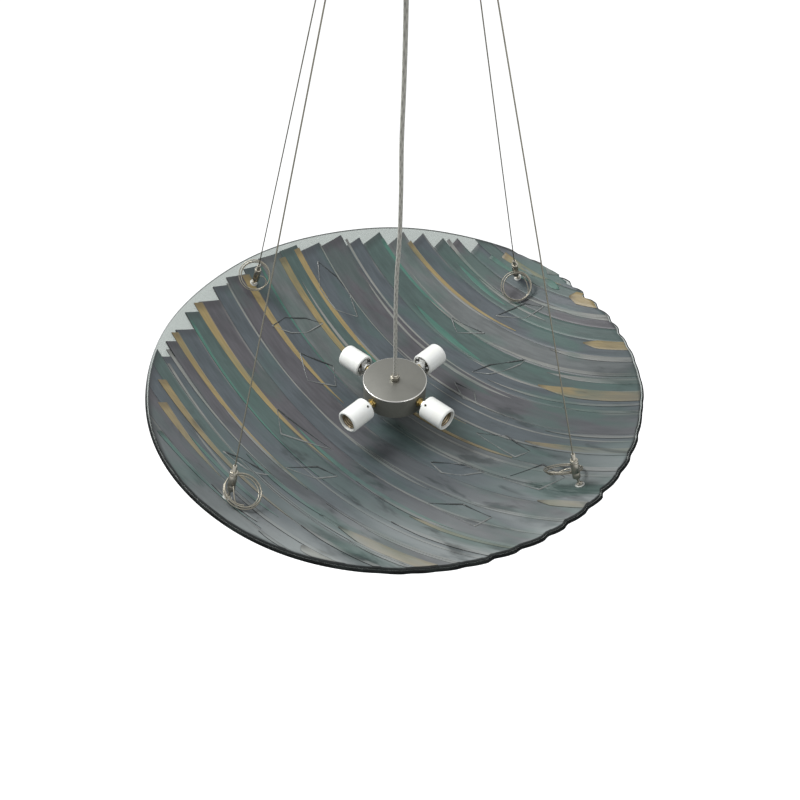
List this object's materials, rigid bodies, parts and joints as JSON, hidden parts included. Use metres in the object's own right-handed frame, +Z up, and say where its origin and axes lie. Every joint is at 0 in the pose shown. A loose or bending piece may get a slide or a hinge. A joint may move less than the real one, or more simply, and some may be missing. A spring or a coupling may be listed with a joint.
{
  "type": "pendant lamp",
  "caption": "Shallow round bowl of fused glass strips on steel cables from a round canopy, with a hub of porcelain lampholders hanging inside it on a power cord.",
  "frame": {"origin": "middle of the ceiling plate's top face, on the ceiling", "axes": "+Z up out of the ceiling plate's top face; -Y towards the side that the picture was taken from; +X to the picture's right"},
  "size_m": [0.7617, 0.7622, 0.7634],
  "materials": {
    "satin_nickel": "satin nickel plate with fine round brushing",
    "nickel": "bright nickel plate, turned",
    "dark_metal": "dark satin spun metal",
    "steel_cable": "stranded steel wire",
    "grey_braid": "braided silver grey sleeve",
    "fused_glass": "fused and slumped strips of slate, teal and amber glass, satin to glossy",
    "porcelain": "white glaze",
    "brass": "plain brass",
    "bright_plate": "bright zinc plated strip",
    "white_nylon": "moulded white nylon",
    "spring_steel": "drawn spring wire"
  },
  "bodies": {
    "canopy": {"ceiling_plate": "satin_nickel", "canopy_pan": "satin_nickel", "canopy_cord_grip": "nickel"},
    "bowl": {"glass_bowl": "fused_glass", "ball_stud_fr": "nickel", "ball_stud_br": "nickel", "ball_stud_bl": "nickel", "ball_stud_fl": "nickel", "glass_bushing_fr": "white_nylon", "glass_bushing_br": "white_nylon", "glass_bushing_bl": "white_nylon", "glass_bushing_fl": "white_nylon", "cap_nut_fr": "nickel", "cap_nut_br": "nickel", "cap_nut_bl": "nickel", "cap_nut_fl": "nickel"},
    "cable_fr": {"cable_fr": "steel_cable"},
    "cable_br": {"cable_br": "steel_cable"},
    "cable_bl": {"cable_bl": "steel_cable"},
    "cable_fl": {"cable_fl": "steel_cable"},
    "gripper_fr": {"gripper_barrel_fr": "nickel", "gripper_spring_fr": "spring_steel", "cable_coil_fr": "steel_cable"},
    "gripper_br": {"gripper_barrel_br": "nickel", "gripper_spring_br": "spring_steel", "cable_coil_br": "steel_cable"},
    "gripper_bl": {"gripper_barrel_bl": "nickel", "gripper_spring_bl": "spring_steel", "cable_coil_bl": "steel_cable"},
    "gripper_fl": {"gripper_barrel_fl": "nickel", "gripper_spring_fl": "spring_steel", "cable_coil_fl": "steel_cable"},
    "plunger_fr": {"gripper_plunger_fr": "nickel"},
    "plunger_br": {"gripper_plunger_br": "nickel"},
    "plunger_bl": {"gripper_plunger_bl": "nickel"},
    "plunger_fl": {"gripper_plunger_fl": "nickel"},
    "power_cord": {"power_cord": "grey_braid"},
    "hub": {"hub_cover": "satin_nickel", "hub_can": "dark_metal", "hub_cord_grip": "nickel", "socket_porcelain_fr": "porcelain", "socket_porcelain_br": "porcelain", "socket_porcelain_bl": "porcelain", "socket_porcelain_fl": "porcelain", "screw_shell_fr": "brass", "screw_shell_br": "brass", "screw_shell_bl": "brass", "screw_shell_fl": "brass", "centre_contact_fr": "brass", "centre_contact_br": "brass", "centre_contact_bl": "brass", "centre_contact_fl": "brass", "socket_nipple_fr": "brass", "socket_nipple_br": "brass", "socket_nipple_bl": "brass", "socket_nipple_fl": "brass", "socket_bracket_fr": "bright_plate", "socket_bracket_br": "bright_plate", "socket_bracket_bl": "bright_plate", "socket_bracket_fl": "bright_plate"}
  },
  "joints": [
    {"name": "bowl_sway", "type": "hinge", "parent": "canopy", "child": "bowl", "pos_m": [0, 0, 0.25726], "axis": [0, 1, 0], "range_deg": [-2.5, 2.5]},
    {"name": "cable_fr_swing", "type": "hinge", "parent": "canopy", "child": "cable_fr", "pos_m": [0.0811, -0.06903, -0.0259], "axis": [0, 1, 0], "range_deg": [-3.7, 3.7]},
    {"name": "cable_br_swing", "type": "hinge", "parent": "canopy", "child": "cable_br", "pos_m": [0.06903, 0.0811, -0.0259], "axis": [0, 1, 0], "range_deg": [-3.7, 3.7]},
    {"name": "cable_bl_swing", "type": "hinge", "parent": "canopy", "child": "cable_bl", "pos_m": [-0.0811, 0.06903, -0.0259], "axis": [0, 1, 0], "range_deg": [-3.7, 3.7]},
    {"name": "cable_fl_swing", "type": "hinge", "parent": "canopy", "child": "cable_fl", "pos_m": [-0.06903, -0.0811, -0.0259], "axis": [0, 1, 0], "range_deg": [-3.7, 3.7]},
    {"name": "gripper_fr_tilt", "type": "hinge", "parent": "bowl", "child": "gripper_fr", "pos_m": [0.25621, -0.21805, -0.63727], "axis": [0, 1, 0], "range_deg": [-1.18, 1.18]},
    {"name": "gripper_br_tilt", "type": "hinge", "parent": "bowl", "child": "gripper_br", "pos_m": [0.21805, 0.25621, -0.63727], "axis": [0, 1, 0], "range_deg": [-1.18, 1.18]},
    {"name": "gripper_bl_tilt", "type": "hinge", "parent": "bowl", "child": "gripper_bl", "pos_m": [-0.25621, 0.21805, -0.63727], "axis": [0, 1, 0], "range_deg": [-1.18, 1.18]},
    {"name": "gripper_fl_tilt", "type": "hinge", "parent": "bowl", "child": "gripper_fl", "pos_m": [-0.21805, -0.25621, -0.63727], "axis": [0, 1, 0], "range_deg": [-1.18, 1.18]},
    {"name": "plunger_fr_press", "type": "slide", "parent": "gripper_fr", "child": "plunger_fr", "axis": [0.2681, -0.2282, -0.936], "range_m": [0, 0.0025], "stiffness_N_per_m": 400, "springref_m": -0.01},
    {"name": "plunger_br_press", "type": "slide", "parent": "gripper_br", "child": "plunger_br", "axis": [0.2282, 0.2681, -0.936], "range_m": [0, 0.0025], "stiffness_N_per_m": 400, "springref_m": -0.01},
    {"name": "plunger_bl_press", "type": "slide", "parent": "gripper_bl", "child": "plunger_bl", "axis": [-0.2681, 0.2282, -0.936], "range_m": [0, 0.0025], "stiffness_N_per_m": 400, "springref_m": -0.01},
    {"name": "plunger_fl_press", "type": "slide", "parent": "gripper_fl", "child": "plunger_fl", "axis": [-0.2282, -0.2681, -0.936], "range_m": [0, 0.0025], "stiffness_N_per_m": 400, "springref_m": -0.01},
    {"name": "cord_swing", "type": "hinge", "parent": "canopy", "child": "power_cord", "pos_m": [0, 0, -0.0395], "axis": [0, 1, 0], "range_deg": [-3, 3]},
    {"name": "hub_twist", "type": "hinge", "parent": "power_cord", "child": "hub", "pos_m": [0, 0, -0.67], "axis": [0, 0, 1], "range_deg": [-45, 45]}
  ],
  "couplings": [
    {"joint": "cable_fr_swing", "follows": "bowl_sway", "ratio": 1.4632},
    {"joint": "cable_br_swing", "follows": "bowl_sway", "ratio": 1.4632},
    {"joint": "cable_bl_swing", "follows": "bowl_sway", "ratio": 1.4632},
    {"joint": "cable_fl_swing", "follows": "bowl_sway", "ratio": 1.4632},
    {"joint": "gripper_fr_tilt", "follows": "bowl_sway", "ratio": 0.4632},
    {"joint": "gripper_br_tilt", "follows": "bowl_sway", "ratio": 0.4632},
    {"joint": "gripper_bl_tilt", "follows": "bowl_sway", "ratio": 0.4632},
    {"joint": "gripper_fl_tilt", "follows": "bowl_sway", "ratio": 0.4632}
  ]
}
